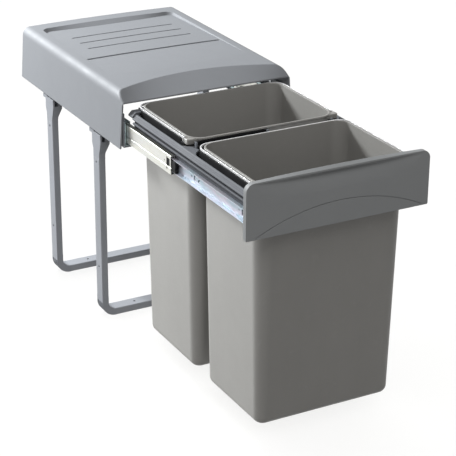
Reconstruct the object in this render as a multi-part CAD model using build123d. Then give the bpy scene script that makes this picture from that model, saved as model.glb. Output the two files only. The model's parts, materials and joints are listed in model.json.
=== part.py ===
from build123d import *
import os
import math

# ---------------------------------------------------------------------------
# Built-in pull-out waste bin, drawer drawn fully out.
# Millimetres, +Z up, +Y towards the back of the cabinet, drawer opens to -Y.
# Sections are drawn with Y = 0 at the front edge of the hood and Z = 0 on the
# cabinet floor, then shifted so that the origin is the centre of the four
# floor screws.
# ---------------------------------------------------------------------------

# --- hood -------------------------------------------------------------------
HOOD_LEN = 450.0
HOOD_HALF_BOT = 170.0       # half width at the lower edge of the side walls
HOOD_HALF_TOP = 163.4       # half width where the walls meet the top
HOOD_Z_BOT = 366.0
HOOD_Z_EDGE = 463.0         # virtual wall / top corner height
HOOD_CROWN = 1.9            # extra height at mid width
HOOD_R = 15.0               # rounding between wall and top
HOOD_T = 2.5                # wall thickness
FASCIA_Z = 448.4            # lower front edge of the sloping front
FASCIA_L_MID = 61.0         # length of the slope at mid width
FASCIA_L_DROP = 28.0        # how much shorter it is at FASCIA_X
FASCIA_X = 143.0
TRAY_HALF = 137.5
TRAY_Y0, TRAY_Y1 = 84.0, 424.0
TRAY_Z_REAR = 458.8         # tray floor at its rear edge
TRAY_FALL = 5.6             # rise of the tray floor towards the front
GROOVES = [(350.0, 210.0, 4.2), (312.0, 211.0, 4.2), (273.0, 212.0, 4.2), (211.0, 270.0, 7.0)]
GROOVE_DEPTH = 1.9
TRAY_FLOOR_T = 3.1          # the tray floor is a little thicker than the walls

# --- legs -------------------------------------------------------------------
LEG_HALF = 166.0            # outer faces of the uprights
LEG_T = 12.4                # upright thickness across the cabinet
LEG_D = 27.3                # section depth along the cabinet
BAR_H = 13.1                # floor bar height
TUBE_WALL = 1.5
LEG_Y = (98.35, 312.35)     # front faces of the two U-shaped legs
CORNER_R = 26.0
CORNER_RI = 13.4            # inner rounding of the corner shoes
CORNER_H = 40.0             # height of the corner shoes
CORNER_X = 138.0            # inner ends of the corner shoes
TUBE_TOP = 312.0
HEAD_TOP = 366.5
FLOOR_HOLE_X = 96.0
HOLE_R = 2.25
SIDE_HOLE_Z = (99.0, 304.0)
YC = (LEG_Y[0] + LEG_Y[1] + LEG_D) / 2.0   # centre of the floor screw pattern

# --- slides -----------------------------------------------------------------
XS = -159.7                 # face of the outer member against the side rail
ZS = 392.0                  # slide centre height
SHEET = 1.2
OUT_H, MID_H, INN_H = 43.0, 33.0, 23.0
OUT_Y = (0.0, 400.0)
MID_Y = (-169.0, 178.0)
INN_Y = (-427.0, -27.0)
BALL_R = 1.6
RAIL_T = 2.0
RAIL_Z = (366.5, 428.0)

# --- drawer -----------------------------------------------------------------
TRAVEL = 412.0
CAR_Y = (-427.0, -10.0)     # carrier side rails
CAP_Y0, CAP_Y1 = -25.0, -8.7   # rear end caps
LEDGE_Z = 422.0
PANEL_Y = -436.75
PANEL_HALF = 165.0
PANEL_Z0, PANEL_Z1 = 362.2, 454.6
PANEL_D = 9.0
PANEL_T = 2.6
PANEL_R = 14.0

# --- bins -------------------------------------------------------------------
BIN_Y = (-325.0, -103.8)    # centres of the front and the rear bin
BIN_Z0, BIN_Z1 = 19.5, 444.3
BIN_TX, BIN_TY = 134.6, 98.6    # half size at the top
BIN_DRAFT = 9.0                 # how much the walls lean out over the height
BIN_RT = 26.0                   # corner radius at the top
RIM_X, RIM_Y = 136.4, 99.3      # half size of the rim
BIN_T = 2.0
BIN_FOOT_R = 14.0
RIM_H = 3.0
PIVOT_Y, PIVOT_Z = -78.0, 439.6  # bail pivot, from the centre of its bin
PIVOT_R = 2.4
BAIL_X0, BAIL_X1 = 138.7, 140.7
BAIL_Y1 = 101.7
BAIL_R = 23.0
BAIL_Z0, BAIL_Z1 = 440.4, 443.6

os.makedirs("parts", exist_ok=True)
SHIFT = Pos(0, -YC, 0)
written = {}


def out(name, shape):
    """Shift a finished piece to the object's origin and write it."""
    solids = list(shape.solids())
    moved = [SHIFT * s for s in solids]
    obj = moved[0] if len(moved) == 1 else Compound(children=moved)
    export_step(obj, f"parts/{name}.step")
    written[name] = sum(s.volume for s in moved)


def mirrored(shape):
    return mirror(shape, about=Plane.YZ)


def box(x0, x1, y0, y1, z0, z1):
    return Pos((x0 + x1) / 2, (y0 + y1) / 2, (z0 + z1) / 2) * Box(abs(x1 - x0), abs(y1 - y0), abs(z1 - z0))


def cyl(axis, r, a0, a1, p, q):
    """Cylinder along X (p=y, q=z), Y (p=x, q=z) or Z (p=x, q=y)."""
    h, m = abs(a1 - a0), (a0 + a1) / 2
    if axis == "X":
        return Pos(m, p, q) * Rot(0, 90, 0) * Cylinder(r, h)
    if axis == "Y":
        return Pos(p, m, q) * Rot(90, 0, 0) * Cylinder(r, h)
    return Pos(p, q, m) * Cylinder(r, h)


def xz_prism(points, y0, y1):
    """Closed polygon in XZ extruded from y0 to y1."""
    wire = Polyline([(x, y0, z) for x, z in points], close=True)
    return extrude(make_face(wire), amount=y1 - y0, dir=(0, 1, 0))


def rr(hx, hy, r, z, cy=0.0):
    return Pos(0, cy, z) * RectangleRounded(2 * hx, 2 * hy, r)


# ---------------------------------------------------------------------------
# Hood
# ---------------------------------------------------------------------------
def hood_profile(inset, y):
    """Closed section of the hood's outer form, moved in by inset."""
    hb, ht = HOOD_HALF_BOT - inset, HOOD_HALF_TOP - inset
    zb = HOOD_Z_BOT - (20.0 if inset else 0.0)
    lean = (HOOD_HALF_BOT - HOOD_HALF_TOP) / (HOOD_Z_EDGE - HOOD_Z_BOT)
    hb2 = hb + lean * (HOOD_Z_BOT - zb)
    ze = HOOD_Z_EDGE - inset
    return (
        Line((-hb2, y, zb), (-ht, y, ze)),
        ThreePointArc((-ht, y, ze), (0, y, ze + HOOD_CROWN), (ht, y, ze)),
        Line((ht, y, ze), (hb2, y, zb)),
        Line((hb2, y, zb), (-hb2, y, zb)),
    )


def hood_block(inset, y0, y1):
    face = make_face(Curve() + list(hood_profile(inset, y0)))
    body = extrude(face, amount=y1 - y0, dir=(0, 1, 0))
    r = max(HOOD_R - inset, 2.0)
    edges = [
        e for e in body.edges().filter_by(Axis.Y)
        if e.center().Z > HOOD_Z_EDGE - 10
    ]
    return fillet(edges, r)


def fascia_cutter(drop):
    """Everything above the sloping front, lowered by drop."""
    sections = []
    for x in (-176.0, -143.0, -100.0, -50.0, 0.0, 50.0, 100.0, 143.0, 176.0):
        run = FASCIA_L_MID - FASCIA_L_DROP * (x / FASCIA_X) ** 2
        top = HOOD_Z_EDGE + HOOD_CROWN * (1 - (x / HOOD_HALF_TOP) ** 2)
        k = (top - FASCIA_Z) / run
        z0 = FASCIA_Z - drop
        pts = [(x, -30.0, z0 - 30 * k), (x, run + 25, z0 + (run + 25) * k), (x, run + 25, 520.0), (x, -30.0, 520.0)]
        sections.append(make_face(Polyline(pts, close=True)))
    return loft(sections)


def above_floor(lower):
    """Space above the tray's crowned, slightly sloping floor."""
    z = TRAY_Z_REAR - lower
    face = make_face(Curve() + [
        ThreePointArc((-200, 0, z - 1.6), (0, 0, z + 0.7), (200, 0, z - 1.6)),
        Line((200, 0, z - 1.6), (200, 0, z + 60)),
        Line((200, 0, z + 60), (-200, 0, z + 60)),
        Line((-200, 0, z + 60), (-200, 0, z - 1.6)),
    ])
    block = extrude(face, amount=420, dir=(0, -1, 0))
    tilt = math.degrees(math.atan2(TRAY_FALL, TRAY_Y1 - TRAY_Y0))
    return Pos(0, TRAY_Y1, 0) * (Pos(0, 0, z) * Rot(-tilt, 0, 0) * Pos(0, 0, -z) * block)


def tray_plan(z, hx, y_front, y_side, y_mid, r):
    """Outline of the tray at height z; its rear edge bows towards the front."""
    s = math.sqrt(0.5)
    k = r - r * s
    return make_face(Curve() + [
        Line((-hx + r, y_front, z), (hx - r, y_front, z)),
        ThreePointArc((hx - r, y_front, z), (hx - k, y_front + k, z), (hx, y_front + r, z)),
        Line((hx, y_front + r, z), (hx, y_side - r, z)),
        ThreePointArc((hx, y_side - r, z), (hx - k, y_side - k, z), (hx - r, y_side, z)),
        ThreePointArc((hx - r, y_side, z), (0, y_mid, z), (-hx + r, y_side, z)),
        ThreePointArc((-hx + r, y_side, z), (-hx + k, y_side - k, z), (-hx, y_side - r, z)),
        Line((-hx, y_side - r, z), (-hx, y_front + r, z)),
        ThreePointArc((-hx, y_front + r, z), (-hx + k, y_front + k, z), (-hx + r, y_front, z)),
    ])


def tray_prism(grow):
    """Tray space: steep sides, and a rear step that slopes gently at mid width."""
    low = tray_plan(452.0, TRAY_HALF - 4 + grow, TRAY_Y0 + 2 - grow, TRAY_Y1 - 20.0 + 1.8 * grow, TRAY_Y1 - 44.0 + 3.4 * grow, 12.0)
    top = tray_plan(470.0, TRAY_HALF + 3 + grow, TRAY_Y0 - 2 - grow, TRAY_Y1 + 6.0 + 1.8 * grow, TRAY_Y1 + 15.0 + 3.4 * grow, 16.0)
    return loft([low, top], ruled=True)


hood = hood_block(0.0, 0.0, HOOD_LEN) - fascia_cutter(0.0)
edge_pick = [
    e for e in hood.edges()
    if e.bounding_box().max.Y < 40 and e.center().Z > FASCIA_Z - 4 and abs(e.center().X) > 150 and e.length > 12
]
try:
    hood = fillet(edge_pick, 5.0)
except Exception:
    pass
tray = tray_prism(0.0) & above_floor(0.0)
boss = tray_prism(HOOD_T) & above_floor(TRAY_FLOOR_T)
cavity = hood_block(HOOD_T, -5.0, HOOD_LEN + 5.0) - fascia_cutter(HOOD_T) - boss
hood = hood - cavity - tray
deeper = above_floor(GROOVE_DEPTH)
for gy, glen, gw in GROOVES:
    slot = extrude(Pos(0, gy, 450) * SlotOverall(glen, gw), amount=30)
    hood = hood - (slot & deeper)
# pads on the inside of the walls that take the hood screws
for sx in (-1, 1):
    for py in (60.0, 390.0):
        pad = box(sx * 161.75, sx * 166.0, py - 9, py + 9, 416.5, 429.0)
        hood = hood + (pad & hood_block(0.5, 0.0, HOOD_LEN))
        hood = hood - cyl("X", 1.7, sx * 160.0, sx * 163.6, py, 421.5)
out("hood", hood)

# ---------------------------------------------------------------------------
# Legs: hollow uprights and floor bars, corner shoes and heads
# ---------------------------------------------------------------------------
def tube_z(x0, x1, y0, y1, z0, z1):
    sec = Pos((x0 + x1) / 2, (y0 + y1) / 2, z0) * RectangleRounded(x1 - x0, y1 - y0, 2.4)
    inn = Pos((x0 + x1) / 2, (y0 + y1) / 2, z0) * RectangleRounded(x1 - x0 - 2 * TUBE_WALL, y1 - y0 - 2 * TUBE_WALL, 1.0)
    return extrude(sec - inn, amount=z1 - z0)


def tube_x(x0, x1, y0, y1, z0, z1):
    pl = Plane(origin=(x0, (y0 + y1) / 2, (z0 + z1) / 2), x_dir=(0, 1, 0), z_dir=(1, 0, 0))
    sec = pl * RectangleRounded(y1 - y0, z1 - z0, 2.4)
    inn = pl * RectangleRounded(y1 - y0 - 2 * TUBE_WALL, z1 - z0 - 2 * TUBE_WALL, 1.0)
    return extrude(sec - inn, amount=x1 - x0)


for tag, y0 in (("front", LEG_Y[0]), ("rear", LEG_Y[1])):
    y1 = y0 + LEG_D
    ym = (y0 + y1) / 2
    xo, xi = -LEG_HALF, -LEG_HALF + LEG_T
    # upright with two through holes for screws into the cabinet side
    up = tube_z(xo, xi, y0, y1, CORNER_H, TUBE_TOP)
    for hz in SIDE_HOLE_Z:
        up = up - cyl("X", HOLE_R, xo - 2, xi + 2, ym, hz)
    out(f"{tag}_left_upright", up)
    out(f"{tag}_right_upright", mirrored(up))
    # floor bar with two through holes for screws into the cabinet floor
    bar = tube_x(-CORNER_X, CORNER_X, y0, y1, 0.0, BAR_H)
    for sx in (-1, 1):
        bar = bar - cyl("Z", HOLE_R, -2, BAR_H + 2, sx * FLOOR_HOLE_X, ym)
    out(f"{tag}_floor_bar", bar)
    # corner shoe: rounded outer corner, spigots into both tubes, three slots
    R, r = CORNER_R, CORNER_RI
    s = math.sqrt(0.5)
    cx, cz = xo + R, R
    ix, iz = xi + r, BAR_H + r
    outline = Curve() + [
        Line((xo, y0, CORNER_H), (xo, y0, cz)),
        ThreePointArc((xo, y0, cz), (cx - R * s, y0, cz - R * s), (cx, y0, 0)),
        Line((cx, y0, 0), (-CORNER_X, y0, 0)),
        Line((-CORNER_X, y0, 0), (-CORNER_X, y0, BAR_H)),
        Line((-CORNER_X, y0, BAR_H), (ix, y0, BAR_H)),
        ThreePointArc((ix, y0, BAR_H), (ix - r * s, y0, iz - r * s), (xi, y0, iz)),
        Line((xi, y0, iz), (xi, y0, CORNER_H)),
        Line((xi, y0, CORNER_H), (xo, y0, CORNER_H)),
    ]
    shoe = extrude(make_face(outline), amount=LEG_D, dir=(0, 1, 0))
    face_edges = [
        e for e in shoe.edges()
        if (abs(e.bounding_box().max.Y - y0) < 1e-3 or abs(e.bounding_box().min.Y - y1) < 1e-3)
        and abs(e.center().Z - CORNER_H) > 0.1 and abs(e.center().X + CORNER_X) > 0.1
    ]
    try:
        shoe = fillet(face_edges, 1.8)
    except Exception:
        pass
    for k in (-1, 0, 1):
        shoe = shoe - box(xo - 5, xo + 10.4, ym + 8.3 * k - 2.7, ym + 8.3 * k + 2.7, 7.5, 28.5)
    g = TUBE_WALL + 0.15
    spigot = box(xo + g, xi - g, y0 + g, y1 - g, CORNER_H - 1, CORNER_H + 22)
    shoe = shoe + fillet(spigot.edges().filter_by(Axis.Z), 1.2)
    spigot = box(-CORNER_X - 1, -CORNER_X + 22, y0 + g, y1 - g, g, BAR_H - g)
    shoe = shoe + fillet(spigot.edges().filter_by(Axis.X), 1.2)
    out(f"{tag}_left_corner_shoe", shoe)
    out(f"{tag}_right_corner_shoe", mirrored(shoe))
    # head: flares inwards and forwards to carry the side rail; a ledge at its
    # back, and a recess above it, take the lower edge of the hood wall
    across = xz_prism([(xo, TUBE_TOP), (xi, TUBE_TOP), (xi, 324.0), (-147.6, 342.0), (-147.6, HEAD_TOP), (xo, HEAD_TOP)], y0 - 12, y1 + 20)
    side = make_face(Polyline([(0, y0, TUBE_TOP), (0, y1, TUBE_TOP), (0, y1, 331.0), (0, y1 + 4.4, 341.0), (0, y1 + 4.4, HEAD_TOP),
                               (0, y0 - 7.2, HEAD_TOP), (0, y0 - 7.2, 346.0), (0, y0, 323.0)], close=True))
    along = Pos(xo - 5, 0, 0) * extrude(side, amount=30.0, dir=(1, 0, 0))
    head = across & along
    vert = [e for e in head.edges().filter_by(Axis.Z) if e.length > 8]
    try:
        head = fillet(vert, 2.0)
    except Exception:
        pass
    head = head - box(xo - 5, xo + 7.5, y0 - 9.0, y1 + 6.0, 359.6, HEAD_TOP + 1)
    head = head + box(xo, xo + 8.5, y1 - 6.0, y1 + 14.0, 354.6, 361.2)
    spigot = box(xo + g, xi - g, y0 + g, y1 - g, TUBE_TOP - 22, TUBE_TOP + 1)
    head = head + fillet(spigot.edges().filter_by(Axis.Z), 1.2)
    head = head - cyl("X", HOLE_R + 0.2, xo - 2, xi + 2, ym, SIDE_HOLE_Z[1])
    head = head - cyl("Z", 1.9, HEAD_TOP - 16, HEAD_TOP + 1, -153.5, ym)
    # open pockets in the front and in the inner side, as moulded
    head = head - box(-163.0, -156.6, y0 - 9.0, y0 + 5.0, 347.0, 357.5)
    head = head - box(-150.5, -146.0, y0 + 4, y1 - 2, 349.0, 362.0)
    out(f"{tag}_left_leg_head", head)
    out(f"{tag}_right_leg_head", mirrored(head))

# ---------------------------------------------------------------------------
# Side rails: steel angles that join the leg heads and carry the slides
# ---------------------------------------------------------------------------
web0, web1 = XS - RAIL_T, XS
rail = box(web0, web1, 2.0, 448.0, *RAIL_Z) + box(web0, -147.5, 2.0, 448.0, RAIL_Z[0], RAIL_Z[0] + RAIL_T)
RIVET_Y = (35.0, 200.0, 365.0)
for ry in RIVET_Y:
    rail = rail - cyl("X", 2.55, web0 - 1, web1 + 1, ry, ZS)
for py in (60.0, 390.0):
    rail = rail - cyl("X", 2.2, web0 - 1, web1 + 1, py, 421.5)
for y0 in LEG_Y:
    rail = rail - cyl("Z", 2.6, RAIL_Z[0] - 1, RAIL_Z[0] + RAIL_T + 1, -153.5, y0 + LEG_D / 2)
out("left_side_rail", rail)
out("right_side_rail", mirrored(rail))

# ---------------------------------------------------------------------------
# Ball-bearing slides
# ---------------------------------------------------------------------------
def channel(web_x, reach_x, half, lip, y0, y1, inward=True):
    """C section: web at web_x, flanges running to reach_x, optional lips."""
    s = 1 if reach_x > web_x else -1
    w0, w1 = web_x, web_x + s * SHEET
    body = box(w0, w1, y0, y1, ZS - half, ZS + half)
    for q in (-1, 1):
        body = body + box(w0, reach_x, y0, y1, ZS + q * half, ZS + q * (half - SHEET))
        if lip:
            body = body + box(reach_x, reach_x - s * SHEET, y0, y1, ZS + q * half, ZS + q * (half - SHEET - lip))
    edges = [
        e for e in body.edges().filter_by(Axis.Y)
        if abs(e.center().X - web_x) < 0.01 and abs(abs(e.center().Z - ZS) - half) < 0.01
    ]
    return fillet(edges, 1.0)


outer = channel(XS, XS + 9.6, OUT_H / 2, 3.0, *OUT_Y)
for ry in RIVET_Y:
    outer = outer - cyl("X", 2.55, XS - 1, XS + 3, ry, ZS)
outer = outer - box(XS - 1, XS + 3, 8.0, 16.0, ZS - 4, ZS + 4)
out("left_outer_member", outer)
out("right_outer_member", mirrored(outer))

rivets = None
for ry in RIVET_Y:
    rv = cyl("X", 2.5, web0, XS + SHEET, ry, ZS) + cyl("X", 4.0, web0 - 1.4, web0, ry, ZS)
    rv = fillet(rv.edges().filter_by(GeomType.CIRCLE).sort_by(Axis.X)[:1], 1.0)
    rivets = [rv] if rivets is None else rivets + [rv]
out("slide_rivets", Compound(children=rivets + [mirrored(r_) for r_ in rivets]))

mid = channel(XS + 2.4, XS + 10.5, MID_H / 2, 3.0, *MID_Y)
mid = mid - cyl("X", 1.4, XS, XS + 6, -146.0, ZS + 3)
# window behind the folded front edge, with a small tab left at its foot
mid = mid - box(XS, XS + 4.2, -165.6, -155.4, ZS - 3.6, ZS + 10.5)
mid = mid - box(XS, XS + 4.2, -156.6, -153.2, ZS - 10.5, ZS + 12.0)
mid = mid - cyl("X", 2.5, XS, XS + 6, 60.0, ZS)
# bead line along the web
mid = mid - box(XS + 2.0, XS + 3.3, MID_Y[0] - 1, MID_Y[1] + 1, ZS - 5.2, ZS - 3.8)
out("left_intermediate_member", mid)
out("right_intermediate_member", mirrored(mid))

inner = channel(XS + 12.7, XS + 5.2, INN_H / 2, 0.0, *INN_Y)
RUN_Y = (-410.0, -150.0, -60.0)
iw0, iw1 = XS + 11.5, XS + 12.7
for ry in RUN_Y:
    inner = inner - cyl("X", 2.05, iw0 - 1, iw1 + 1, ry, ZS + 1)
inner = inner - box(iw0 - 1, iw0 + 0.5, INN_Y[0] - 1, INN_Y[1] + 1, ZS - 9.9, ZS - 8.7)
# punched holes and slots, each with a pocket behind it in the carrier rail
PUNCHED = [
    cyl("X", 1.6, iw0 - 1, iw1 + 1.8, -226.5, ZS + 1),
    box(iw0 - 1, iw1 + 1.8, -238.2, -234.8, ZS - 3.4, ZS + 4.8),
    Pos(0, -251.0, ZS + 0.5) * Rot(-35, 0, 0) * Pos(0, 251.0, -ZS - 0.5) * box(iw0 - 1, iw1 + 1.8, -254.4, -247.6, ZS - 0.9, ZS + 1.9),
    cyl("X", 1.5, iw0 - 1, iw1 + 1.8, -384.5, ZS + 1),
    box(iw0 - 1, iw1 + 1.8, -396.6, -393.0, ZS - 4.4, ZS + 5.4),
]
for cut in PUNCHED:
    inner = inner - cut
out("left_inner_member", inner)
out("right_inner_member", mirrored(inner))

runner = []
for ry in RUN_Y:
    sc = cyl("X", 1.95, iw0, iw1 + 2.3, ry, ZS + 1) + cyl("X", 3.0, iw0 - 1.4, iw0, ry, ZS + 1)
    sc = fillet(sc.edges().filter_by(GeomType.CIRCLE).sort_by(Axis.X)[:1], 0.8)
    sc = sc - box(iw0 - 2, iw0 - 0.7, ry - 1.9, ry + 1.9, ZS + 0.6, ZS + 1.4) - box(iw0 - 2, iw0 - 0.7, ry - 0.4, ry + 0.4, ZS - 0.9, ZS + 2.9)
    runner.append(sc)
out("runner_screws", Compound(children=runner + [mirrored(r_) for r_ in runner]))

# black front bumper on the intermediate member, inside the drawer member
bump = box(XS + 3.6, XS + 9.4, -183.6, -166.5, ZS - 9.6, ZS + 9.6)
bump = bump + box(XS + 3.6, XS + 5.0, -169.0, -150.5, ZS - 10.5, ZS + 11.0)
bump = bump - cyl("X", 5.0, XS, XS + 12, -187.4, ZS - 1.5)
bump = bump - box(XS + 5.4, XS + 12, -179.0, -171.0, ZS - 6.5, ZS + 6.5)
out("left_front_bumper", bump)
out("right_front_bumper", mirrored(bump))

# rubber stop at the back of the outer member
stop = box(XS + 1.2, XS + 8.0, 399.0, 386.0, ZS - 8, ZS + 8)
stop = fillet(stop.edges().filter_by(Axis.X), 2.5)
stop = stop - cyl("Y", 2.6, 380, 402, XS + 4.8, ZS)
out("left_rear_stop", stop)
out("right_rear_stop", mirrored(stop))


def cage(x_web0, x_web1, x_arm, z_arm, y0, y1, ball_x, n):
    """Retainer strip with an arm at top and bottom, and its balls."""
    body = box(x_web0, x_web1, y0, y1, ZS - z_arm - 0.6, ZS + z_arm + 0.6)
    for q in (-1, 1):
        body = body + box(x_web0, x_arm, y0, y1, ZS + q * z_arm - 0.6, ZS + q * z_arm + 0.6)
    body = body - box(x_web0 - 1, x_web1 + 1, y0 + 12, y1 - 12, ZS - 6, ZS + 6)
    balls = []
    for i in range(n):
        by = y0 + 6 + (y1 - y0 - 12) * i / (n - 1)
        for q in (-1, 1):
            balls.append(Pos(ball_x, by, ZS + q * z_arm) * Sphere(BALL_R))
            body = body - cyl("Z", BALL_R + 0.06, ZS + q * z_arm - 2, ZS + q * z_arm + 2, ball_x, by)
    return body, balls


# gap between the outer and the intermediate member is 3.8 mm, as is the next
z_out = (OUT_H / 2 - SHEET + MID_H / 2) / 2
z_inn = (MID_H / 2 - SHEET + INN_H / 2) / 2
oc, ob = cage(XS + 1.5, XS + 2.1, XS + 7.8, z_out, 6.0, 96.0, XS + 5.4, 5)
ic, ib = cage(XS + 3.9, XS + 4.9, XS + 8.8, z_inn, -134.0, -44.0, XS + 6.9, 5)
out("left_outer_ball_cage", oc)
out("right_outer_ball_cage", mirrored(oc))
out("left_outer_balls", Compound(children=ob))
out("right_outer_balls", Compound(children=[mirrored(b) for b in ob]))
out("left_inner_ball_cage", ic)
out("right_inner_ball_cage", mirrored(ic))
out("left_inner_balls", Compound(children=ib))
out("right_inner_balls", Compound(children=[mirrored(b) for b in ib]))

# ---------------------------------------------------------------------------
# Drawer: carrier rails, cross bars, caps, divider plate and front panel
# ---------------------------------------------------------------------------
CARRIER = [
    (-144.2, 381.5), (-147.0, 381.5), (-147.0, 416.4), (-156.3, 417.0),
    (-157.0, 417.8), (-157.0, 420.0), (-156.2, 420.6), (-153.0, 420.0), (-150.0, 419.0),
    (-150.0, 424.9), (-156.4, 425.1), (-157.5, 426.1), (-157.5, 427.2),
    (-156.7, 428.6), (-151.5, 433.7), (-150.6, 434.1), (-149.5, 434.1),
    (-148.8, 433.4), (-148.8, LEDGE_Z), (-134.8, LEDGE_Z), (-134.8, 419.0),
    (-144.2, 419.0),
]
crail = xz_prism(CARRIER, *CAR_Y)
# fine grooves along the sloping band
for t in (0.25, 0.62):
    gx, gz = -156.7 + t * 5.2, 428.6 + t * 5.1
    crail = crail - (Pos(gx, (CAR_Y[0] + CAR_Y[1]) / 2, gz) * Rot(0, -45, 0) * Box(0.7, CAR_Y[1] - CAR_Y[0] + 2, 0.8))
for ry in RUN_Y:
    crail = crail - cyl("X", 2.0, -148.0, -144.6, ry, ZS + 1)
for cut in PUNCHED:
    crail = crail - cut
# the outer ridges stop short of the rear end, where the cap takes over
crail = crail - box(-165.0, -146.0, CAP_Y0, CAR_Y[1] + 1, 414.0, 440.0)
# dowels that tie the cross bars to the rails: y, z of each
DOWELS = [(-418.0, 400.0), (-214.75, 398.0), (-13.5, 398.0)]
for dy, dz in DOWELS:
    crail = crail - cyl("X", 2.05, -146.6, -143.0, dy, dz)
# web that rounds the corner towards the middle cross bar, on a rib, with a fin
# that stands up between the corners of the two bins
WEB_Z = 430.8
web = make_face(Curve() + [
    Line((-149.6, -252.0, WEB_Z), (-149.6, -188.0, WEB_Z)),
    ThreePointArc((-149.6, -188.0, WEB_Z), (-145.2, -198.9, WEB_Z), (-132.6, -203.6, WEB_Z)),
    Line((-132.6, -203.6, WEB_Z), (-132.6, -224.0, WEB_Z)),
    ThreePointArc((-132.6, -224.0, WEB_Z), (-143.6, -233.2, WEB_Z), (-149.6, -252.0, WEB_Z)),
])
crail = crail + extrude(web, amount=3.0, dir=(0, 0, 1))
for x0_, x1_ in ((-149.2, -142.0), (-139.2, -134.8)):
    crail = crail + box(x0_, x1_, -215.0, -212.6, LEDGE_Z - 0.2, WEB_Z + 0.2)
crail = crail + box(-134.9, -132.6, -217.4, -211.0, WEB_Z, 444.0)
out("left_carrier_rail", crail)
out("right_carrier_rail", mirrored(crail))

# black edge strips on the ledges; the folded bails lie just above them
STRIP_X0, STRIP_X1 = -141.6, -139.6
strip = None
for ya, yb, zt in ((-421.0, -397.0, 434.4), (-397.0, -241.0, 439.6), (-241.0, -187.0, WEB_Z - 0.2), (-187.0, -176.0, 434.4), (-176.0, -26.0, 439.6)):
    piece = box(STRIP_X0, STRIP_X1, ya, yb, LEDGE_Z, zt)
    strip = piece if strip is None else strip + piece
for ya, yb in ((-421.0, -217.0), (-210.6, -26.0)):
    strip = strip + box(-147.6, STRIP_X1, ya, yb, LEDGE_Z, LEDGE_Z + 1.4)
out("left_edge_strip", strip)
out("right_edge_strip", mirrored(strip))

# rear end caps: a slab over the rail's cut-back end, on a foot that stands on the ledge
cap_pts = [(-157.4, 428.2), (-157.4, 430.6), (-151.4, 436.4), (-150.2, 436.9), (-134.3, 436.9), (-134.3, 428.2)]
cap_ = xz_prism(cap_pts, CAP_Y0 + 0.05, CAP_Y1)
cap_ = cap_ + box(-145.9, -136.4, CAP_Y0 + 0.05, CAR_Y[1], LEDGE_Z, 428.4)
cap_ = cap_ - box(-144.0, -138.4, CAP_Y0 - 1.0, CAP_Y1 - 8.0, 430.0, 434.4)
out("left_rail_end_cap", cap_)
out("right_rail_end_cap", mirrored(cap_))

# front cross bar, behind the panel
fy0, fy1 = -427.0, -424.4
fbar = box(-144.0, 144.0, fy0, fy1, 384.0, 436.0)
for sx in (-1, 1):
    fbar = fbar + (box(sx * 144.0, sx * 141.4, fy0, fy0 + 14.0, 384.0, 418.6))
for x in (-100, -34, 34, 100):
    fbar = fbar - box(x - 22, x + 22, fy0 - 1, fy1 + 1, 396.0, 424.0)
PANEL_SCREW = [(-128.0, 410.0), (-67.0, 390.0), (67.0, 390.0), (128.0, 410.0)]
for sx, sz in PANEL_SCREW:
    fbar = fbar - cyl("Y", 2.2, fy0 - 1, fy1 + 1, sx, sz)
for sx in (-1, 1):
    fbar = fbar - box(sx * 134.6, sx * 148.0, fy0 - 1, fy1 + 1, 418.8, LEDGE_Z + 0.1)
    fbar = fbar - cyl("X", 2.05, sx * 137.3, sx * 146.0, *DOWELS[0])
out("front_crossbar", fbar)

# middle cross bar between the bins: a channel, open on its left half
my0, my1 = -224.0, -203.6
mbar = box(-144.0, 144.0, my0, my1, 386.0, 437.6) - box(-141.0, 141.0, my0 + 2.2, my1 - 2.2, 388.2, 440.0)
for x, w in ((-132.4, 2.4), (-2.4, 6.4), (120.6, 6.4), (130.2, 2.2)):
    mbar = mbar + box(x, x + w, my0, my1, 388.0, 437.6)
for sx in (-1, 1):
    mbar = mbar - box(sx * 132.4, sx * 150.0, my0 - 1, my1 + 1, 418.8, 440.0)
    mbar = mbar - cyl("X", 2.05, sx * 137.3, sx * 146.0, *DOWELS[1])
# the left half of the channel is cut low at the front; its rear wall stands up
# to just under the rim of the rear bin
mbar = mbar - box(-130.0, -2.4, my0 - 1, my1 - 2.2, 424.0, 440.0)
mbar = mbar + box(-132.4, 4.0, my1 - 2.2, my1, 436.0, 440.8)

PLATE_X = (6.2, 117.0)
PLATE_Z = 434.0
mbar = mbar - box(4.6, 119.0, my0 - 1, my1 + 1, PLATE_Z - 2.4, 440.0)
plate = box(*PLATE_X, -224.9, -203.4, PLATE_Z - 2.4, PLATE_Z)
plate = fillet(plate.edges().filter_by(Axis.Z), 2.0)
plate = fillet(plate.edges().group_by(Axis.Z)[-1], 0.8)
plate = plate + box(PLATE_X[0] + 3, PLATE_X[1] - 3, my0 + 2.6, my1 - 2.6, PLATE_Z - 8.0, PLATE_Z - 2.4)
out("divider_plate", plate)
# pegs at both ends of the plate, pressed into the cross bar's posts
PEG_X = (0.8, 123.8)
pegs = []
for px in PEG_X:
    mbar = mbar - cyl("Z", 1.55, 428.0, 438.0, px, -209.5)
    pg = cyl("Z", 1.5, 429.0, 437.6, px, -209.5) + cyl("Z", 2.5, 437.6, 441.6, px, -209.5)
    pg = fillet(pg.edges().filter_by(GeomType.CIRCLE).sort_by(Axis.Z)[-1:], 1.2)
    pegs.append(pg)
out("divider_pegs", Compound(children=pegs))
out("middle_crossbar", mbar)

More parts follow.
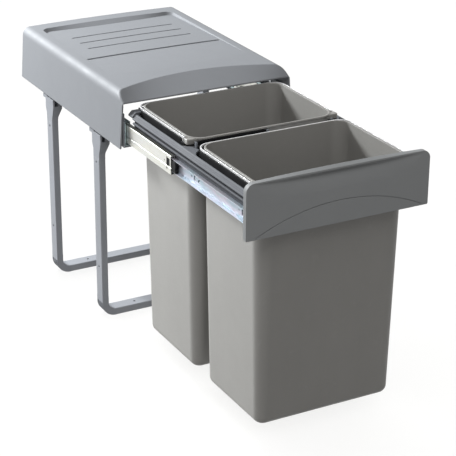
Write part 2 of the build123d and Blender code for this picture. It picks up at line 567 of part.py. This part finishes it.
# rear cross bar
rb0, rb1 = -4.6, 0.6
rbar = box(-133.9, 133.9, rb0, rb1, 388.0, 435.5) - box(-131.5, 131.5, rb0 + 2.2, rb1 + 1, 390.4, 433.0)
for x in (-88, 0, 88):
    rbar = rbar - box(x - 30, x + 30, rb0 - 1, rb1 + 1, 398.0, 426.0)
for sx in (-1, 1):
    rbar = rbar + box(sx * 133.9, sx * 144.0, -16.2, -10.8, 388.0, 418.6) + box(sx * 133.7, sx * 135.9, -16.2, -1.4, 388.0, 418.6)
    rbar = rbar - cyl("X", 2.05, sx * 137.3, sx * 146.0, *DOWELS[2])
out("rear_crossbar", rbar)

# dowels between the carrier rails and the cross bars
pins = [cyl("X", 2.0, -146.6, -137.5, dy, dz) for dy, dz in DOWELS]
out("crossbar_dowels", Compound(children=pins + [mirrored(p_) for p_ in pins]))

# front panel: shallow shell with a finger recess under its top lip
pz = (PANEL_Z0 + PANEL_Z1) / 2


def panel_face(grow, top_bow, y):
    h, z0, z1, r = PANEL_HALF + grow, PANEL_Z0 - grow, PANEL_Z1 + grow, PANEL_R + grow
    s = math.sqrt(0.5)
    b = 2.0
    return make_face(Curve() + [
        Line((-h + b, y, z0), (h - b, y, z0)),
        ThreePointArc((h - b, y, z0), (h - b + b * s, y, z0 + b - b * s), (h, y, z0 + b)),
        Line((h, y, z0 + b), (h, y, z1 - r)),
        ThreePointArc((h, y, z1 - r), (h - r + r * s, y, z1 - r + r * s), (h - r, y, z1)),
        ThreePointArc((h - r, y, z1), (0, y, z1 + top_bow), (-h + r, y, z1)),
        ThreePointArc((-h + r, y, z1), (-h + r - r * s, y, z1 - r + r * s), (-h, y, z1 - r)),
        Line((-h, y, z1 - r), (-h, y, z0 + b)),
        ThreePointArc((-h, y, z0 + b), (-h + b - b * s, y, z0 + b - b * s), (-h + b, y, z0)),
    ])


# the back of the top lip stands a little higher than its front
panel = loft([panel_face(0.0, 0.4, PANEL_Y), panel_face(0.0, 2.6, PANEL_Y + PANEL_D)])
lower_hollow = extrude(panel_face(-PANEL_T, 0.4, PANEL_Y + PANEL_T), amount=PANEL_D, dir=(0, 1, 0))
lower_hollow = lower_hollow & box(-200, 200, -500, -400, 300, 421.0)
panel = panel - lower_hollow


def lens(depth, half, z):
    y = PANEL_Y
    return make_face(Curve() + [
        Line((-half, y - 2, z), (half, y - 2, z)),
        Line((half, y - 2, z), (half, y, z)),
        ThreePointArc((half, y, z), (0, y + depth, z), (-half, y, z)),
        Line((-half, y, z), (-half, y - 2, z)),
    ])


scoop = loft([lens(6.4, 150.0, PANEL_Z1 - 2.4), lens(6.2, 149.0, PANEL_Z1 - 7.0)], ruled=True)
scoop = scoop + loft([lens(6.2, 149.0, PANEL_Z1 - 7.0), lens(2.6, 138.0, PANEL_Z1 - 17.0), lens(0.12, 124.0, PANEL_Z1 - 34.0)])
panel = panel - scoop
# thin arc groove across the lower part
GR, GX, GTOP = 337.0, 3.0, 400.2
gz = GTOP - GR
ring = Plane(origin=(GX, PANEL_Y + 0.8, gz), x_dir=(1, 0, 0), z_dir=(0, -1, 0)) * (Circle(GR + 0.5) - Circle(GR - 0.5))
groove = extrude(ring, amount=2.0) & box(-148.0, 153.0, PANEL_Y - 3, PANEL_Y + 3, 364.4, 420.0)
panel = panel - groove
bosses = None
for sx, sz in PANEL_SCREW:
    b_ = cyl("Y", 4.6, PANEL_Y + PANEL_T - 0.2, fy0 - 0.02, sx, sz)
    panel = panel + b_
    panel = panel - cyl("Y", 1.5, PANEL_Y + PANEL_T + 0.6, fy0 + 1, sx, sz)
for rx in (-150, -95, -40, 40, 95, 150):
    panel = panel + box(rx - 0.8, rx + 0.8, PANEL_Y + PANEL_T - 0.2, PANEL_Y + 7.4, PANEL_Z0 + 1.5, 419.0)
out("front_panel", panel)

pscrews = []
for sx, sz in PANEL_SCREW:
    sc = cyl("Y", 1.4, PANEL_Y + 4.2, fy1, sx, sz) + cyl("Y", 3.6, fy1, fy1 + 1.0, sx, sz)
    sc = fillet(sc.edges().filter_by(GeomType.CIRCLE).sort_by(Axis.Y)[-1:], 0.6)
    sc = sc - box(sx - 2.0, sx + 2.0, fy1 + 0.4, fy1 + 3, sz - 0.4, sz + 0.4) - box(sx - 0.4, sx + 0.4, fy1 + 0.4, fy1 + 3, sz - 2.0, sz + 2.0)
    pscrews.append(sc)
out("panel_screws", Compound(children=pscrews))

# ---------------------------------------------------------------------------
# Screws of the fixed frame
# ---------------------------------------------------------------------------
hs = []
for py in (60.0, 390.0):
    sc = cyl("X", 1.6, -163.4, XS, py, 421.5) + cyl("X", 3.0, XS, XS + 1.4, py, 421.5)
    sc = fillet(sc.edges().filter_by(GeomType.CIRCLE).sort_by(Axis.X)[-1:], 0.8)
    hs.append(sc)
out("hood_screws", Compound(children=hs + [mirrored(s_) for s_ in hs]))
ls = []
for y0 in LEG_Y:
    ym = y0 + LEG_D / 2
    sc = cyl("Z", 1.8, HEAD_TOP - 15, RAIL_Z[0] + RAIL_T, -153.5, ym) + cyl("Z", 3.8, RAIL_Z[0] + RAIL_T, RAIL_Z[0] + RAIL_T + 1.6, -153.5, ym)
    sc = fillet(sc.edges().filter_by(GeomType.CIRCLE).sort_by(Axis.Z)[-1:], 1.0)
    ls.append(sc)
out("leg_head_screws", Compound(children=ls + [mirrored(s_) for s_ in ls]))

# ---------------------------------------------------------------------------
# Bins and their bail handles (front and rear are identical)
# ---------------------------------------------------------------------------
def tapered(hx, hy, r, z0, z1):
    """Rounded box that narrows towards z0, with half sizes given at z1."""
    angle = math.degrees(math.atan2(BIN_DRAFT, BIN_Z1 - BIN_Z0))
    return extrude(rr(hx, hy, r, z1), amount=z1 - z0, dir=(0, 0, -1), taper=angle)


def bin_body():
    zr = BIN_Z1 - RIM_H
    t = BIN_T
    outer_ = tapered(BIN_TX, BIN_TY, BIN_RT, BIN_Z0, BIN_Z1)
    base = [e for e in outer_.edges() if e.bounding_box().max.Z < BIN_Z0 + 0.01]
    outer_ = fillet(base, BIN_FOOT_R)
    inn = tapered(BIN_TX - t, BIN_TY - t, BIN_RT - t, BIN_Z0 + t, BIN_Z1)
    base = [e for e in inn.edges() if e.bounding_box().max.Z < BIN_Z0 + t + 0.01]
    inn = fillet(base, BIN_FOOT_R - t)
    rim = extrude(rr(RIM_X, RIM_Y, BIN_RT + 1.3, zr), amount=RIM_H)
    rim = fillet([e for e in rim.edges() if abs(e.center().Z - BIN_Z1) < 0.01], 0.9)
    body = outer_ + rim
    # flanges that rest on the carrier's ledges
    for sx in (-1, 1):
        body = body + box(sx * 129.0, sx * 138.6, -58.0, 72.0, LEDGE_Z + 0.2, LEDGE_Z + 2.2)
        # pivot pin and its root for the bail
        py = PIVOT_Y
        body = body + cyl("X", 4.4, sx * 128.5, sx * 138.2, py, PIVOT_Z)
        body = body + box(sx * 128.5, sx * 138.2, py - 4.4, py + 4.4, PIVOT_Z, zr + 0.5)
        body = body + cyl("X", PIVOT_R, sx * 138.0, sx * 141.4, py, PIVOT_Z)
        # stop block in front of the bail's end, at the rounded corner
        stop_ = box(sx * 118.0, sx * 142.2, PIVOT_Y - 17.0, PIVOT_Y - 5.0, 435.2, 443.6)
        stop_ = fillet([e for e in stop_.edges().filter_by(Axis.Z) if abs(e.center().X) > 140.0], 3.0)
        stop_ = fillet([e for e in stop_.edges() if abs(e.center().Z - 443.6) < 0.01 and abs(e.center().X) > 119.0], 1.4)
        body = body + stop_
    body = body - inn
    for sx in (-1, 1):
        body = body - cyl("X", 1.2, sx * 139.0, sx * 142.0, PIVOT_Y, PIVOT_Z)
    return body


def bail():
    r_out = BAIL_R
    front = -200.0
    mid_y, half_y = (BAIL_Y1 + front) / 2, (BAIL_Y1 - front) / 2
    t = BAIL_X1 - BAIL_X0
    o = extrude(rr(BAIL_X1, half_y, r_out, BAIL_Z0, mid_y), amount=BAIL_Z1 - BAIL_Z0)
    i = extrude(rr(BAIL_X0, half_y - t, r_out - t, BAIL_Z0 - 1, mid_y), amount=BAIL_Z1 - BAIL_Z0 + 2)
    py = PIVOT_Y
    band = (o - i) - box(-200, 200, -300, py, 400, 500)
    for sx in (-1, 1):
        band = band + cyl("X", 4.4, sx * BAIL_X0, sx * BAIL_X1, py, PIVOT_Z)
        band = band - cyl("X", PIVOT_R + 0.08, sx * (BAIL_X0 - 1), sx * (BAIL_X1 + 1), py, PIVOT_Z)
    # grip in the middle of the rear bow
    grip = box(-45.0, 45.0, BAIL_Y1 - t, BAIL_Y1, BAIL_Z0 - 1.6, BAIL_Z1)
    grip = fillet(grip.edges().filter_by(Axis.Y), 1.4)
    return band + grip


BIN, BAIL = bin_body(), bail()
for tag, cy in (("front", BIN_Y[0]), ("rear", BIN_Y[1])):
    out(f"{tag}_bin", Pos(0, cy, 0) * BIN)
    out(f"{tag}_bin_handle", Pos(0, cy, 0) * BAIL)

for n_, v_ in written.items():
    print(f"{n_:32s} {v_ / 1000:9.2f} cm3")
print(len(written), "nodes")
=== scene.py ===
import json
import math
import bpy
from mathutils import Matrix, Vector

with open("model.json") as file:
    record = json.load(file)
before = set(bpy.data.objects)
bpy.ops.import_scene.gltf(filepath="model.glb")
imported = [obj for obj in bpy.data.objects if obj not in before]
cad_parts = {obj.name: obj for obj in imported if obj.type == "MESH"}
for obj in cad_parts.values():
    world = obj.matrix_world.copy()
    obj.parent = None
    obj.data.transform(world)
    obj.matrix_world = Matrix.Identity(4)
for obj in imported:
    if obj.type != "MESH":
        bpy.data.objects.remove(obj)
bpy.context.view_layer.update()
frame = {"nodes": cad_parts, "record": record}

NODES = frame["nodes"]
scene = bpy.context.scene


# ---------------------------------------------------------------------------
# Camera: the photograph's viewing angle
# ---------------------------------------------------------------------------
def make_camera():
    yaw, pitch, roll = (math.radians(a) for a in (-28.48, -23.38, 0.42))
    f = Vector((-math.sin(yaw) * math.cos(pitch), math.cos(yaw) * math.cos(pitch), math.sin(pitch)))
    r = f.cross(Vector((0, 0, 1))).normalized()
    u = r.cross(f)
    r2 = math.cos(roll) * r + math.sin(roll) * u
    u2 = -math.sin(roll) * r + math.cos(roll) * u
    data = bpy.data.cameras.new("camera")
    data.sensor_fit = "HORIZONTAL"
    data.sensor_width = 36.0
    data.lens = 1655.40 / 456.0 * 36.0
    data.clip_start, data.clip_end = 0.05, 60.0
    cam = bpy.data.objects.new("camera", data)
    m = Matrix((r2, u2, -f)).transposed().to_4x4()
    m.translation = Vector((-1.27326, -2.64245, 1.36912))
    cam.matrix_world = m
    scene.collection.objects.link(cam)
    scene.camera = cam


make_camera()


# ---------------------------------------------------------------------------
# Node helpers
# ---------------------------------------------------------------------------
class Graph:
    """A small helper that builds one material's node tree."""

    def __init__(self, name):
        self.mat = bpy.data.materials.new(name)
        self.mat.use_nodes = True
        self.t = self.mat.node_tree
        self.t.nodes.clear()
        self.out = self.new("ShaderNodeOutputMaterial")
        self.bsdf = self.new("ShaderNodeBsdfPrincipled")
        self.t.links.new(self.bsdf.outputs["BSDF"], self.out.inputs["Surface"])
        self.coord = self.new("ShaderNodeTexCoord").outputs["Object"]
        self.geo = self.new("ShaderNodeNewGeometry")

    def new(self, kind, **values):
        n = self.t.nodes.new(kind)
        for k, v in values.items():
            setattr(n, k, v)
        return n

    def link(self, a, b):
        self.t.links.new(a, b)

    def put(self, sock, value):
        if hasattr(value, "is_linked"):
            self.link(value, sock)
        else:
            sock.default_value = value

    def stretch(self, scale, offset=(0, 0, 0)):
        m = self.new("ShaderNodeMapping")
        m.inputs["Scale"].default_value = scale
        m.inputs["Location"].default_value = offset
        self.link(self.coord, m.inputs["Vector"])
        return m.outputs["Vector"]

    def noise(self, scale, detail=3.0, rough=0.55, vec=None, distort=0.0):
        n = self.new("ShaderNodeTexNoise")
        self.link(vec or self.coord, n.inputs["Vector"])
        n.inputs["Scale"].default_value = scale
        n.inputs["Detail"].default_value = detail
        n.inputs["Roughness"].default_value = rough
        n.inputs["Distortion"].default_value = distort
        return n.outputs["Fac"]

    def voronoi(self, scale, vec=None, feature="F1"):
        n = self.new("ShaderNodeTexVoronoi", feature=feature)
        self.link(vec or self.coord, n.inputs["Vector"])
        n.inputs["Scale"].default_value = scale
        return n.outputs["Distance"]

    def remap(self, v, a, b, c, d, smooth=False):
        n = self.new("ShaderNodeMapRange", clamp=True)
        if smooth:
            n.interpolation_type = "SMOOTHSTEP"
        self.link(v, n.inputs["Value"])
        for k, x in zip(("From Min", "From Max", "To Min", "To Max"), (a, b, c, d)):
            n.inputs[k].default_value = x
        return n.outputs["Result"]

    def math(self, op, a, b=0.0, clamp=False):
        n = self.new("ShaderNodeMath", operation=op, use_clamp=clamp)
        self.put(n.inputs[0], a)
        self.put(n.inputs[1], b)
        return n.outputs[0]

    def mix(self, fac, a, b, blend="MIX"):
        n = self.new("ShaderNodeMix", data_type="RGBA", blend_type=blend)
        self.put(n.inputs["Factor"], fac)
        self.put(n.inputs[6], a)
        self.put(n.inputs[7], b)
        return n.outputs[2]

    def ramp(self, v, stops):
        n = self.new("ShaderNodeValToRGB")
        self.link(v, n.inputs["Fac"])
        e = n.color_ramp.elements
        while len(e) < len(stops):
            e.new(0.5)
        for el, (p, c) in zip(e, stops):
            el.position = p
            el.color = c
        return n.outputs["Color"]

    def xyz(self):
        n = self.new("ShaderNodeSeparateXYZ")
        self.link(self.coord, n.inputs[0])
        return n.outputs

    def soft_normal(self, radius):
        n = self.new("ShaderNodeBevel", samples=4)
        n.inputs["Radius"].default_value = radius
        return n.outputs["Normal"]

    def edge(self, bevel_normal, lo=0.02, hi=0.25):
        """1 on sharp edges, 0 on open surface."""
        d = self.new("ShaderNodeVectorMath", operation="DOT_PRODUCT")
        self.link(bevel_normal, d.inputs[0])
        self.link(self.geo.outputs["Normal"], d.inputs[1])
        return self.remap(self.math("SUBTRACT", 1.0, d.outputs["Value"]), lo, hi, 0.0, 1.0)

    def bump(self, height, distance, strength=1.0, normal=None):
        n = self.new("ShaderNodeBump")
        n.inputs["Strength"].default_value = strength
        n.inputs["Distance"].default_value = distance
        self.link(height, n.inputs["Height"])
        if normal is not None:
            self.link(normal, n.inputs["Normal"])
        return n.outputs["Normal"]


def rgb(c, k=1.0):
    return (c[0] * k, c[1] * k, c[2] * k, 1.0)


def plastic(name, colour, rough=(0.38, 0.48), grain=2600.0, grain_depth=0.00004, variation=0.05,
            wear=0.25, radius=0.0009, scuff=0.3, streak=None, spec=0.5, coat=0.0):
    """Moulded plastic: fine eroded grain, faint flow marks, scuffs and rubbed edges."""
    g = Graph(name)
    nb = g.soft_normal(radius)
    edge = g.edge(nb)
    broken = g.remap(g.noise(160.0, 4.0), 0.35, 0.7, 0.0, 1.0)
    worn = g.math("MULTIPLY", edge, broken)
    # colour: broad unevenness plus a fine speckle of the pigment
    broad = g.noise(5.0, 3.0, 0.6)
    fine = g.noise(grain * 0.35, 2.0, 0.7)
    shade = g.math("ADD", g.math("MULTIPLY", g.remap(broad, 0.3, 0.7, -1, 1), 0.65), g.math("MULTIPLY", g.remap(fine, 0.3, 0.7, -1, 1), 0.35))
    if streak:
        flow = g.noise(1.0, 4.0, 0.65, vec=g.stretch(streak))
        shade = g.math("ADD", shade, g.math("MULTIPLY", g.remap(flow, 0.3, 0.7, -1, 1), 0.6))
    col = g.mix(g.remap(shade, -1.4, 1.4, 0.0, 1.0), rgb(colour, 1.0 - variation), rgb(colour, 1.0 + variation))
    col = g.mix(g.math("MULTIPLY", worn, wear), col, rgb(colour, 1.55))
    # fine dust and rub marks
    rub = g.remap(g.noise(38.0, 6.0, 0.7, distort=0.6), 0.56, 0.74, 0.0, 1.0, True)
    col = g.mix(g.math("MULTIPLY", rub, 0.05 * scuff), col, (0.62, 0.62, 0.61, 1.0))
    g.link(col, g.bsdf.inputs["Base Color"])
    r0, r1 = rough
    base_r = g.remap(g.noise(22.0, 4.0, 0.6), 0.3, 0.7, r0, r1)
    rr = g.math("ADD", base_r, g.math("MULTIPLY", rub, 0.10 * scuff))
    rr = g.math("SUBTRACT", rr, g.math("MULTIPLY", worn, 0.06))
    g.link(rr, g.bsdf.inputs["Roughness"])
    g.bsdf.inputs["IOR"].default_value = 1.49
    g.bsdf.inputs["Specular IOR Level"].default_value = spec
    if coat:
        g.bsdf.inputs["Coat Weight"].default_value = coat
        g.bsdf.inputs["Coat Roughness"].default_value = 0.3
    # spark-eroded grain: rounded pits and a soft undulation of the moulding
    pits = g.voronoi(grain)
    under = g.noise(9.0, 2.0, 0.5)
    n1 = g.bump(under, 0.0006, 0.10, nb)
    n2 = g.bump(g.math("ADD", pits, g.noise(grain * 1.7, 2.0)), grain_depth, 0.8, n1)
    g.link(n2, g.bsdf.inputs["Normal"])
    return g.mat


def powder(name, colour, rough=(0.44, 0.54)):
    """Powder coat on steel: orange peel, tiny specks, thin edges."""
    g = Graph(name)
    nb = g.soft_normal(0.0010)
    edge = g.edge(nb)
    worn = g.math("MULTIPLY", edge, g.remap(g.noise(220.0, 4.0), 0.42, 0.72, 0.0, 1.0))
    speck = g.remap(g.noise(1500.0, 1.0), 0.62, 0.70, 0.0, 1.0)
    col = g.mix(g.remap(g.noise(7.0, 3.0), 0.3, 0.7, 0.0, 1.0), rgb(colour, 0.95), rgb(colour, 1.05))
    col = g.mix(g.math("MULTIPLY", speck, 0.12), col, rgb(colour, 1.8))
    col = g.mix(g.math("MULTIPLY", worn, 0.3), col, rgb(colour, 1.7))
    g.link(col, g.bsdf.inputs["Base Color"])
    g.link(g.remap(g.noise(30.0, 4.0), 0.3, 0.7, *rough), g.bsdf.inputs["Roughness"])
    g.bsdf.inputs["Specular IOR Level"].default_value = 0.45
    peel = g.noise(700.0, 2.0, 0.5)
    g.link(g.bump(peel, 0.00006, 0.6, nb), g.bsdf.inputs["Normal"])
    return g.mat


def zinc(name, tints, rough=(0.22, 0.34), lines=(700.0, 3.0, 700.0), dull=0.25, metal=1.0, wear=0.15, radius=0.0002):
    """Bright zinc plate on rolled strip: passivation tints, rolling lines, small stains."""
    g = Graph(name)
    nb = g.soft_normal(radius)
    edge = g.edge(nb)
    tint = g.noise(1.0, 3.0, 0.55, vec=g.stretch((26.0, 9.0, 34.0)))
    col = g.ramp(tint, [(p, (*c, 1.0)) for p, c in tints])
    spangle = g.voronoi(260.0, vec=g.stretch((1.0, 0.45, 1.0)))
    col = g.mix(g.math("MULTIPLY", g.remap(spangle, 0.1, 0.7, 0.0, 1.0), 0.10), col, (0.45, 0.46, 0.48, 1.0))
    stain = g.remap(g.noise(60.0, 6.0, 0.7), 0.60, 0.75, 0.0, 1.0, True)
    col = g.mix(g.math("MULTIPLY", stain, dull), col, (0.36, 0.36, 0.35, 1.0))
    col = g.mix(g.math("MULTIPLY", edge, wear), col, (0.92, 0.93, 0.94, 1.0))
    g.link(col, g.bsdf.inputs["Base Color"])
    g.bsdf.inputs["Metallic"].default_value = metal
    roll = g.noise(1.0, 2.0, 0.6, vec=g.stretch(lines))
    rr = g.math("ADD", g.remap(g.noise(45.0, 3.0), 0.3, 0.7, *rough), g.math("MULTIPLY", g.remap(roll, 0.3, 0.7, -1, 1), 0.05))
    g.link(g.math("ADD", rr, g.math("MULTIPLY", stain, 0.18)), g.bsdf.inputs["Roughness"])
    g.link(g.bump(roll, 0.00002, 0.7, nb), g.bsdf.inputs["Normal"])
    return g.mat


HOOD = (0.232, 0.240, 0.256)
LEG = (0.292, 0.304, 0.330)
PANEL = (0.255, 0.262, 0.266)
BIN = (0.220, 0.214, 0.202)
CARRIER = (0.128, 0.133, 0.146)

M = {
    "hood_plastic": plastic("hood_plastic", HOOD, rough=(0.60, 0.70), grain=2400.0, variation=0.04, wear=0.12, scuff=0.4, spec=0.38),
    "frame_plastic": plastic("frame_plastic", LEG, rough=(0.52, 0.62), grain=2600.0, variation=0.05, wear=0.20, spec=0.4),
    "frame_steel": powder("frame_steel", LEG),
    "panel_plastic": plastic("panel_plastic", PANEL, rough=(0.56, 0.66), grain=2400.0, variation=0.04, wear=0.14, scuff=0.4, spec=0.4),
    "bin_plastic": plastic("bin_plastic", BIN, rough=(0.40, 0.50), grain=1900.0, variation=0.05, wear=0.25, radius=0.0012, scuff=0.8,
                           streak=(14.0, 14.0, 2.2)),
    "carrier_plastic": plastic("carrier_plastic", CARRIER, rough=(0.60, 0.72), grain=2600.0, variation=0.05, wear=0.15, streak=(60.0, 3.0, 60.0), spec=0.14),
    # black plastic: the real black of the bumpers; on the ledge strips and middle crossbar this black is painted shade
    # for the gaps between bins and carriers
    "black_plastic": plastic("black_plastic", (0.009, 0.009, 0.010), rough=(0.5, 0.65), grain=2200.0, variation=0.2, wear=0.15, spec=0.16),
    "inner_zinc": zinc("inner_zinc", [(0.30, (0.56, 0.76, 0.80)), (0.44, (0.62, 0.75, 0.84)), (0.56, (0.76, 0.71, 0.80)), (0.70, (0.60, 0.76, 0.78))],
                       rough=(0.40, 0.50), dull=0.12, metal=0.45),
    "mid_zinc": zinc("mid_zinc", [(0.25, (0.76, 0.78, 0.80)), (0.5, (0.80, 0.80, 0.74)), (0.75, (0.74, 0.77, 0.78))], rough=(0.32, 0.44), dull=0.12),
    # outer member zinc: colour darkened far below the other zinc, painted shade for the hood's shadow over the outer
    # members
    "outer_zinc_painted_shade": zinc("outer_zinc_painted_shade", [(0.25, (0.26, 0.36, 0.38)), (0.5, (0.44, 0.54, 0.55)), (0.75, (0.28, 0.40, 0.44))], rough=(0.24, 0.36)),
    "bright_steel": zinc("bright_steel", [(0.3, (0.60, 0.62, 0.64)), (0.7, (0.72, 0.72, 0.70))], lines=(300.0, 300.0, 300.0)),
    "ball_steel": zinc("ball_steel", [(0.3, (0.84, 0.84, 0.85)), (0.7, (0.90, 0.90, 0.90))], rough=(0.08, 0.14), dull=0.1),
    "cage_steel": zinc("cage_steel", [(0.3, (0.50, 0.51, 0.52)), (0.7, (0.62, 0.62, 0.61))], rough=(0.30, 0.42)),
    "strap_steel": zinc("strap_steel", [(0.3, (0.84, 0.84, 0.85)), (0.7, (0.92, 0.92, 0.93))], rough=(0.26, 0.36), lines=(900.0, 5.0, 900.0), metal=0.6),
}

record = frame["record"]
slot_of = {s["node"]: s["material_slot"] for s in record["subparts"]}
for name, obj in NODES.items():
    slot = slot_of[name]
    key = slot
    if slot == "zinc_steel":
        key = "inner_zinc" if "inner" in name else "mid_zinc" if "intermediate" in name else "outer_zinc_painted_shade"
    mat = M[key]
    if not obj.material_slots:
        obj.data.materials.append(mat)
    for ms in obj.material_slots:
        ms.material = mat


# ---------------------------------------------------------------------------
# Stage: pale floor and soft studio light
# ---------------------------------------------------------------------------
def make_floor():
    me = bpy.data.meshes.new("floor")
    s = 14.0
    me.from_pydata([(-s, -s, 0), (s, -s, 0), (s, s, 0), (-s, s, 0)], [], [(0, 1, 2, 3)])
    ob = bpy.data.objects.new("floor", me)
    scene.collection.objects.link(ob)
    g = Graph("floor")
    col = g.mix(g.remap(g.noise(1.5, 4.0), 0.3, 0.7, 0.0, 1.0), (0.865, 0.865, 0.86, 1), (0.885, 0.885, 0.88, 1))
    g.link(col, g.bsdf.inputs["Base Color"])
    g.link(g.remap(g.noise(3.0, 3.0), 0.3, 0.7, 0.62, 0.72), g.bsdf.inputs["Roughness"])
    g.bsdf.inputs["Specular IOR Level"].default_value = 0.2
    me.materials.append(g.mat)
    # the floor shows and reflects, but does not throw light back on the object
    ob.visible_diffuse = False
    ob.visible_shadow = False
    return ob


FLOOR = make_floor()


def aim(ob, at, look):
    ob.location = at
    ob.rotation_euler = (Vector(look) - Vector(at)).to_track_quat("-Z", "Y").to_euler()
    scene.collection.objects.link(ob)


def collection(name, objects):
    c = bpy.data.collections.new(name)
    for o in objects:
        c.objects.link(o)
    return c


SLIDE_INNER = [o for n, o in NODES.items() if n.endswith("inner_member")]
SLIDE_MID = [o for n, o in NODES.items() if n.endswith("intermediate_member")]
PIECES = [o for o in scene.objects if o.type == "MESH" and o is not FLOOR]
ON_OBJECT = collection("lit_by_key", [o for o in PIECES if o not in SLIDE_INNER + SLIDE_MID])
ON_PIECES = collection("lit_high_front", PIECES)
ON_INNER = collection("lit_inner_slide", SLIDE_INNER)
ON_MID = collection("lit_mid_slide", SLIDE_MID)
ON_BINS = collection("lit_low_left", [NODES["front_bin"], NODES["rear_bin"]])
ON_FLOOR = collection("lit_by_floor_wash", [FLOOR])


def area(name, at, look, size, power, colour=(1, 1, 1), size_y=None, receivers=None):
    d = bpy.data.lights.new(name, "AREA")
    d.shape = "RECTANGLE" if size_y else "SQUARE"
    d.size = size
    if size_y:
        d.size_y = size_y
    d.energy = power
    d.color = colour
    o = bpy.data.objects.new(name, d)
    aim(o, at, look)
    if receivers:
        o.light_linking.receiver_collection = receivers
    return o


def floor_wash(strength):
    d = bpy.data.lights.new("floor_wash", "SUN")
    d.energy = strength
    d.angle = math.radians(20)
    d.use_shadow = False
    o = bpy.data.objects.new("floor_wash", d)
    aim(o, (0, 0, 4), (0, 0, 0))
    o.light_linking.receiver_collection = ON_FLOOR


# one key from behind on the left, fairly low
area("key", (-1.18, 2.06, 1.62), (0.0, -0.1, 0.38), 0.52, 172.0, colour=(0.95, 0.98, 1.0), receivers=ON_OBJECT)
# the same key, weaker and softer, on the bright slide members
area("key_inner_slide", (-1.18, 2.06, 1.62), (0.0, -0.1, 0.38), 1.2, 62.0, colour=(0.93, 0.99, 1.0), receivers=ON_INNER)
area("key_mid_slide", (-1.18, 2.06, 1.62), (0.0, -0.1, 0.38), 1.2, 95.0, colour=(0.97, 1.0, 0.97), receivers=ON_MID)
# weak high light from the front
area("high_front", (-1.1, -1.6, 2.6), (0.0, -0.15, 0.35), 1.5, 31.0, receivers=ON_PIECES)
# low light along the left faces of the bins
area("low_left", (-0.98, 0.36, 0.26), (-0.13, -0.40, 0.22), 0.5, 8.2, colour=(0.95, 0.98, 1.0), size_y=0.45, receivers=ON_BINS)
# soft light that rounds the front left corners of the bins
area("corner_left", (-1.30, -0.62, 0.30), (-0.13, -0.50, 0.22), 0.4, 2.8, colour=(0.98, 0.99, 1.0), size_y=0.6, receivers=ON_BINS)
# weak light from above that falls into the open bins
area("into_bins", (0.10, -0.72, 1.25), (0.02, -0.42, 0.40), 0.4, 2.2, receivers=ON_BINS)
floor_wash(2.85)


def make_world():
    """Dim studio: a bright backdrop low at the rear, weaker light from the front."""
    w = bpy.data.worlds.new("studio")
    scene.world = w
    w.use_nodes = True
    t = w.node_tree
    bg = t.nodes["Background"]
    xyz = t.nodes.new("ShaderNodeSeparateXYZ")
    t.links.new(t.nodes.new("ShaderNodeTexCoord").outputs["Generated"], xyz.inputs[0])

    def step(sock, a, b, c, d):
        n = t.nodes.new("ShaderNodeMapRange")
        n.interpolation_type = "SMOOTHSTEP"
        t.links.new(sock, n.inputs["Value"])
        for k, v in zip(("From Min", "From Max", "To Min", "To Max"), (a, b, c, d)):
            n.inputs[k].default_value = v
        return n.outputs["Result"]

    def calc(op, a, b):
        n = t.nodes.new("ShaderNodeMath")
        n.operation = op
        for i, v in enumerate((a, b)):
            if hasattr(v, "is_linked"):
                t.links.new(v, n.inputs[i])
            else:
                n.inputs[i].default_value = v
        return n.outputs[0]

    x, y, z = xyz.outputs
    backdrop = calc("MULTIPLY", step(y, 0.1, 0.75, 0.0, 0.80), calc("MULTIPLY", step(z, -0.06, 0.04, 0.0, 1.0), step(z, 0.38, 0.66, 1.0, 0.0)))
    front = step(y, -0.9, -0.1, 0.10, 0.0)
    total = calc("ADD", calc("ADD", backdrop, front), 0.20)
    t.links.new(total, bg.inputs["Strength"])
    bg.inputs["Color"].default_value = (1.0, 0.995, 0.985, 1.0)


make_world()

scene.view_settings.view_transform = "Standard"
scene.view_settings.look = "None"
scene.view_settings.exposure = 0.0
scene.view_settings.gamma = 1.0
